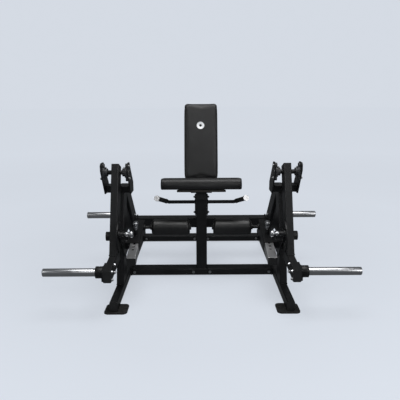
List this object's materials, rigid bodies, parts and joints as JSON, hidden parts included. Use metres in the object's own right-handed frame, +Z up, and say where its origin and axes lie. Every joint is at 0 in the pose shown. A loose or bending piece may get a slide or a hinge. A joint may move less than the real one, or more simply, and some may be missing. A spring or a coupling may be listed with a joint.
{
  "type": "leg press machine",
  "caption": "Plate-loaded seated leg machine: A-frame sides, two independent swinging levers with chrome weight horns, adjustable foam rollers, tilted seat and backrest.",
  "frame": {"origin": "on the floor under the middle of the whole machine's box", "axes": "+X right as seen from the front and along the weight horns, -Y the way the seated user faces, +Z up"},
  "size_m": [1.95, 1.7238, 1.2796],
  "materials": {
    "black_plastic": "moulded black plastic",
    "cast_housing": "dark painted casting",
    "chrome": "bright chrome plate",
    "collar_black": "black painted collar",
    "grip_rubber": "matt rubber grip",
    "nickel_plate": "satin nickel plate",
    "plywood": "black-stained plywood",
    "powder_coat": "black powder coat, fine texture, semi-gloss",
    "roller_foam": "closed-cell foam skin",
    "rubber": "matt rubber",
    "vinyl": "black upholstery vinyl with fine grain",
    "zinc_bolt": "bright zinc plate"
  },
  "bodies": {
    "frame": {"base_rail_left": "powder_coat", "base_rail_right": "powder_coat", "front_leg_left": "powder_coat", "front_leg_right": "powder_coat", "rear_leg_left": "powder_coat", "rear_leg_right": "powder_coat", "leg_gussets": "powder_coat", "yoke_tubes": "powder_coat", "yoke_plates": "powder_coat", "floor_cross_beams": "powder_coat", "upper_rear_beam": "powder_coat", "rear_brace": "powder_coat", "beam_flanges": "powder_coat", "seat_post": "powder_coat", "seat_rail": "powder_coat", "back_column": "powder_coat", "seat_bracket": "powder_coat", "seat_board": "plywood", "seat_pad": "vinyl", "backrest_upright": "powder_coat", "backrest_board": "plywood", "backrest_pad": "vinyl", "handle_bars": "powder_coat", "handle_grips": "grip_rubber", "handle_end_caps": "nickel_plate", "foot_pads": "rubber", "rail_end_caps": "black_plastic", "storage_horns": "chrome", "storage_horn_collars": "collar_black", "bearing_housings": "cast_housing", "frame_bolts": "zinc_bolt", "stop_bumpers": "rubber"},
    "lever_left": {"lever_left": "powder_coat", "lever_shaft_left": "powder_coat", "lever_end_caps_left": "black_plastic", "weight_horn_left": "chrome", "horn_collar_left": "collar_black"},
    "roller_arm_left": {"arm_bracket_left": "powder_coat", "arm_sleeve_left": "powder_coat"},
    "slide_left": {"slide_tube_left": "nickel_plate", "slide_plug_left": "black_plastic", "roller_bar_left": "powder_coat"},
    "roller_left": {"roller_core_left": "black_plastic", "foam_roller_left": "roller_foam"},
    "angle_pin_left": {"angle_pin_left": "chrome"},
    "length_pin_left": {"length_pin_left": "chrome"},
    "lever_right": {"lever_right": "powder_coat", "lever_shaft_right": "powder_coat", "lever_end_caps_right": "black_plastic", "weight_horn_right": "chrome", "horn_collar_right": "collar_black"},
    "roller_arm_right": {"arm_bracket_right": "powder_coat", "arm_sleeve_right": "powder_coat"},
    "slide_right": {"slide_tube_right": "nickel_plate", "slide_plug_right": "black_plastic", "roller_bar_right": "powder_coat"},
    "roller_right": {"roller_core_right": "black_plastic", "foam_roller_right": "roller_foam"},
    "angle_pin_right": {"angle_pin_right": "chrome"},
    "length_pin_right": {"length_pin_right": "chrome"}
  },
  "joints": [
    {"name": "lever_swing_left", "type": "hinge", "parent": "frame", "child": "lever_left", "pos_m": [-0.57, -0.385, 0.838], "axis": [-1, 0, 0], "range_deg": [0, 70]},
    {"name": "arm_angle_left", "type": "hinge", "parent": "lever_left", "child": "roller_arm_left", "pos_m": [-0.545, -0.54496, 0.44209], "axis": [-1, 0, 0], "range_deg": [-10, 30]},
    {"name": "roller_reach_left", "type": "slide", "parent": "roller_arm_left", "child": "slide_left", "axis": [0, 0.9763, 0.2164], "range_m": [0, 0.114]},
    {"name": "roller_spin_left", "type": "hinge", "parent": "slide_left", "child": "roller_left", "pos_m": [-0.225, -0.16452, 0.38952], "axis": [1, 0, 0], "continuous": true},
    {"name": "angle_pin_pull_left", "type": "slide", "parent": "roller_arm_left", "child": "angle_pin_left", "axis": [1, 0, 0], "range_m": [0, 0.012], "stiffness_N_per_m": 1500},
    {"name": "length_pin_pull_left", "type": "slide", "parent": "roller_arm_left", "child": "length_pin_left", "axis": [0, -0.2164, 0.9763], "range_m": [0, 0.012], "stiffness_N_per_m": 1500},
    {"name": "lever_swing_right", "type": "hinge", "parent": "frame", "child": "lever_right", "pos_m": [0.57, -0.385, 0.838], "axis": [-1, 0, 0], "range_deg": [0, 70]},
    {"name": "arm_angle_right", "type": "hinge", "parent": "lever_right", "child": "roller_arm_right", "pos_m": [0.545, -0.54496, 0.44209], "axis": [-1, 0, 0], "range_deg": [-10, 30]},
    {"name": "roller_reach_right", "type": "slide", "parent": "roller_arm_right", "child": "slide_right", "axis": [0, 0.9763, 0.2164], "range_m": [0, 0.114]},
    {"name": "roller_spin_right", "type": "hinge", "parent": "slide_right", "child": "roller_right", "pos_m": [0.225, -0.16452, 0.38952], "axis": [1, 0, 0], "continuous": true},
    {"name": "angle_pin_pull_right", "type": "slide", "parent": "roller_arm_right", "child": "angle_pin_right", "axis": [-1, 0, 0], "range_m": [0, 0.012], "stiffness_N_per_m": 1500},
    {"name": "length_pin_pull_right", "type": "slide", "parent": "roller_arm_right", "child": "length_pin_right", "axis": [0, -0.2164, 0.9763], "range_m": [0, 0.012], "stiffness_N_per_m": 1500}
  ]
}
